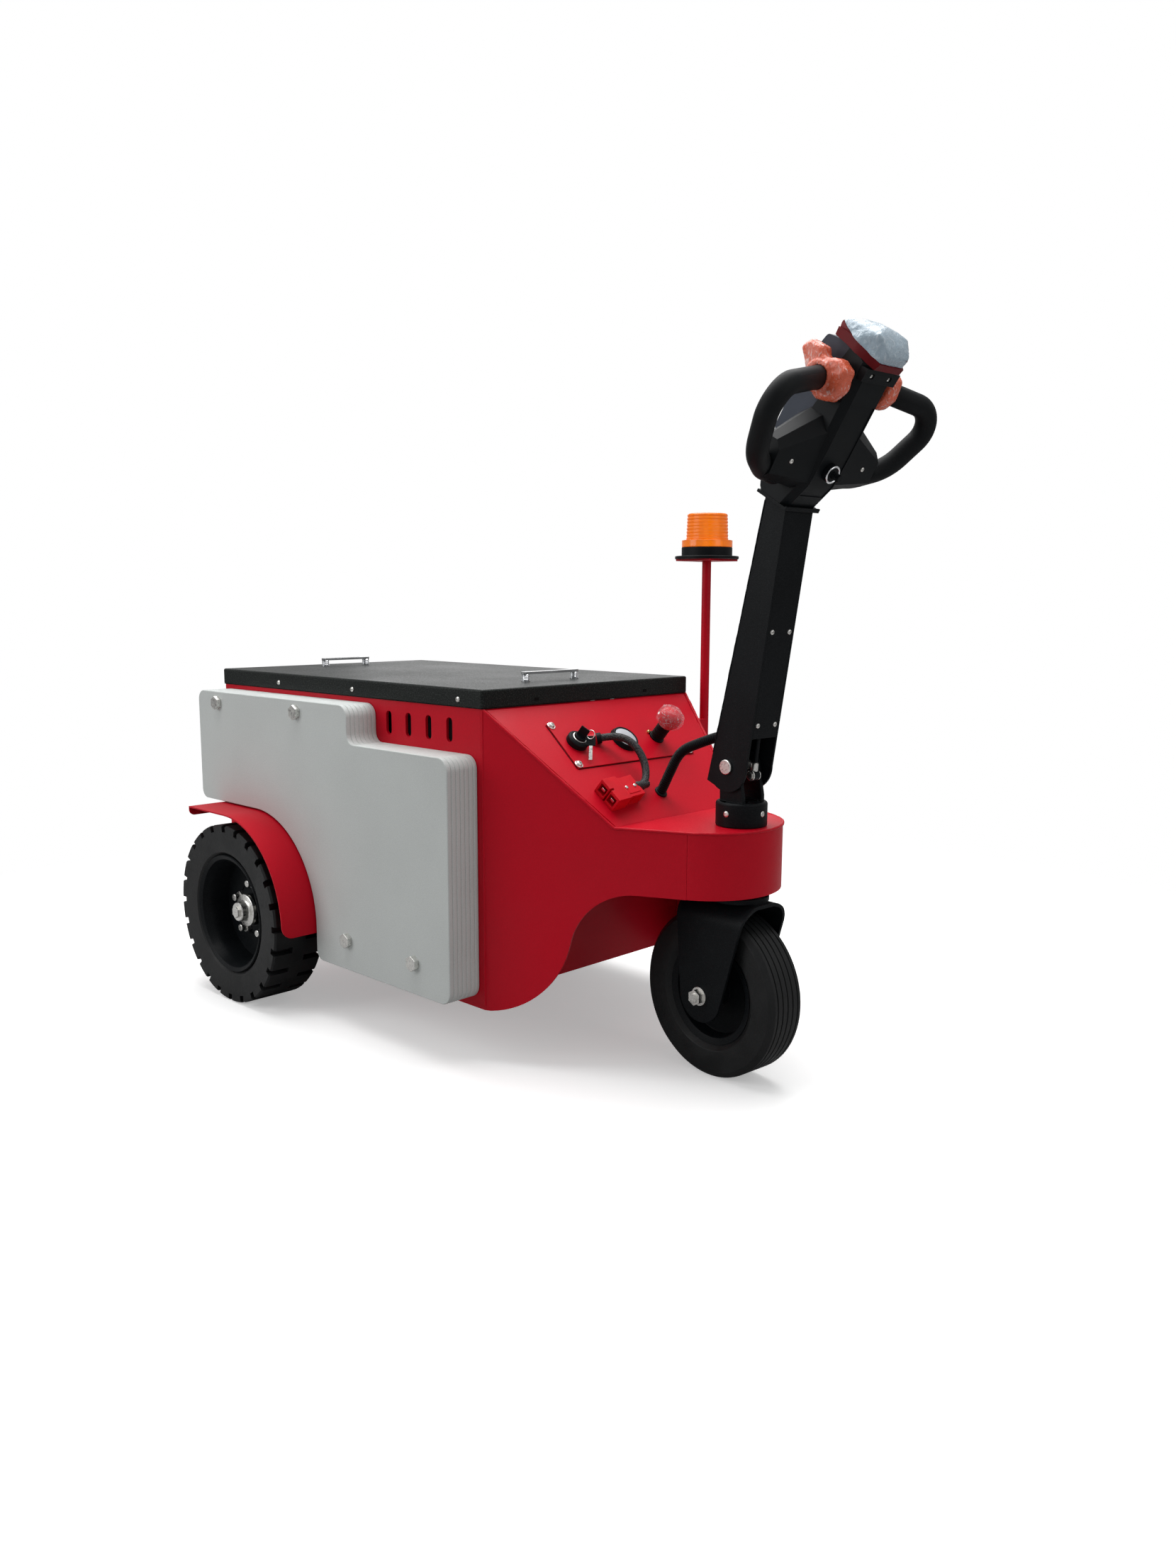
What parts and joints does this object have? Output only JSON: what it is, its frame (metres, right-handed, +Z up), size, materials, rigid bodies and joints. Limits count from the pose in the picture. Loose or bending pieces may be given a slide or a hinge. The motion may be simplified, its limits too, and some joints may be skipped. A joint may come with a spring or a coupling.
{
  "type": "pedestrian electric tow tug",
  "caption": "Low three-wheeled electric tow tug with a boxed battery body, side ballast plates, a steered front wheel and an upright looped tiller.",
  "frame": {"origin": "on the ground under the middle of the tug's bounding box", "axes": "+X forward towards the tiller and the steered wheel, +Y to the vehicle's left, +Z up"},
  "size_m": [1.6284, 0.862, 1.2679],
  "materials": {
    "red_paint": "gloss red paint",
    "grey_paint": "pale grey paint",
    "lid_black": "black powder coat",
    "black_steel": "black paint",
    "rubber": "black rubber",
    "zinc": "zinc plated",
    "chrome": "chrome",
    "black_plastic": "black plastic",
    "grey_plastic": "grey plastic",
    "red_plastic": "red plastic",
    "pink_plastic": "orange red plastic",
    "amber": "amber lens",
    "cast": "black cast iron",
    "battery_case": "dark plastic",
    "blue_film": "film covered red plastic"
  },
  "bodies": {
    "chassis": {"side_plate_right": "red_paint", "side_plate_left": "red_paint", "body_frame": "red_paint", "slope_panel": "red_paint", "nose_shell": "red_paint", "steering_housing": "red_paint", "battery": "battery_case", "drive_axle": "cast", "fenders": "red_paint", "ballast_plates_odd": "grey_paint", "ballast_plates_even": "grey_paint", "ballast_bolts": "zinc", "control_panel": "red_paint", "key_switch": "black_plastic", "battery_gauge": "black_plastic", "emergency_stop": "red_plastic", "power_connector": "red_plastic", "connector_lead": "rubber", "conduit": "black_plastic", "beacon_pole": "red_paint", "beacon_base": "black_plastic", "beacon_lens": "amber", "tow_hitch": "red_paint", "hitch_pin": "zinc"},
    "lid": {"lid": "lid_black", "lid_handles": "chrome"},
    "rear_wheel_left": {"rear_tyre_left": "rubber", "rear_rim_left": "black_steel"},
    "rear_wheel_right": {"rear_tyre_right": "rubber", "rear_rim_right": "black_steel"},
    "steering": {"fork": "black_steel", "front_axle": "zinc", "tiller_yoke": "black_steel"},
    "front_wheel": {"front_tyre": "rubber", "front_rim": "black_steel"},
    "tiller": {"tiller_pin": "zinc", "tiller_arm": "black_steel", "tiller_cover": "black_steel", "gas_spring": "black_steel", "head_shell": "black_plastic", "head_console": "grey_plastic", "handle_loops": "black_plastic", "butterfly_grips": "pink_plastic", "belly_button": "blue_film", "head_lock": "black_plastic"}
  },
  "joints": [
    {"name": "rear_wheel_left_spin", "type": "hinge", "parent": "chassis", "child": "rear_wheel_left", "pos_m": [-0.495, 0.3735, 0.19], "axis": [0, 1, 0], "continuous": true},
    {"name": "rear_wheel_right_spin", "type": "hinge", "parent": "chassis", "child": "rear_wheel_right", "pos_m": [-0.495, -0.3735, 0.19], "axis": [0, 1, 0], "continuous": true},
    {"name": "steer", "type": "hinge", "parent": "chassis", "child": "steering", "pos_m": [0.5255, 0, 0.4], "axis": [0, 0, 1], "range_deg": [-85.65, 94.35], "deforming": ["conduit"]},
    {"name": "front_wheel_spin", "type": "hinge", "parent": "steering", "child": "front_wheel", "pos_m": [0.48911, 0.00277, 0.153], "axis": [0.0758, 0.9971, 0], "continuous": true},
    {"name": "tiller_tilt", "type": "hinge", "parent": "steering", "child": "tiller", "pos_m": [0.52021, 0.0004, 0.5663], "axis": [0.0758, 0.9971, 0], "range_deg": [0, 60], "deforming": ["conduit"]},
    {"name": "lid_lift", "type": "slide", "parent": "chassis", "child": "lid", "axis": [0, 0, 1], "range_m": [0, 0.2]}
  ]
}
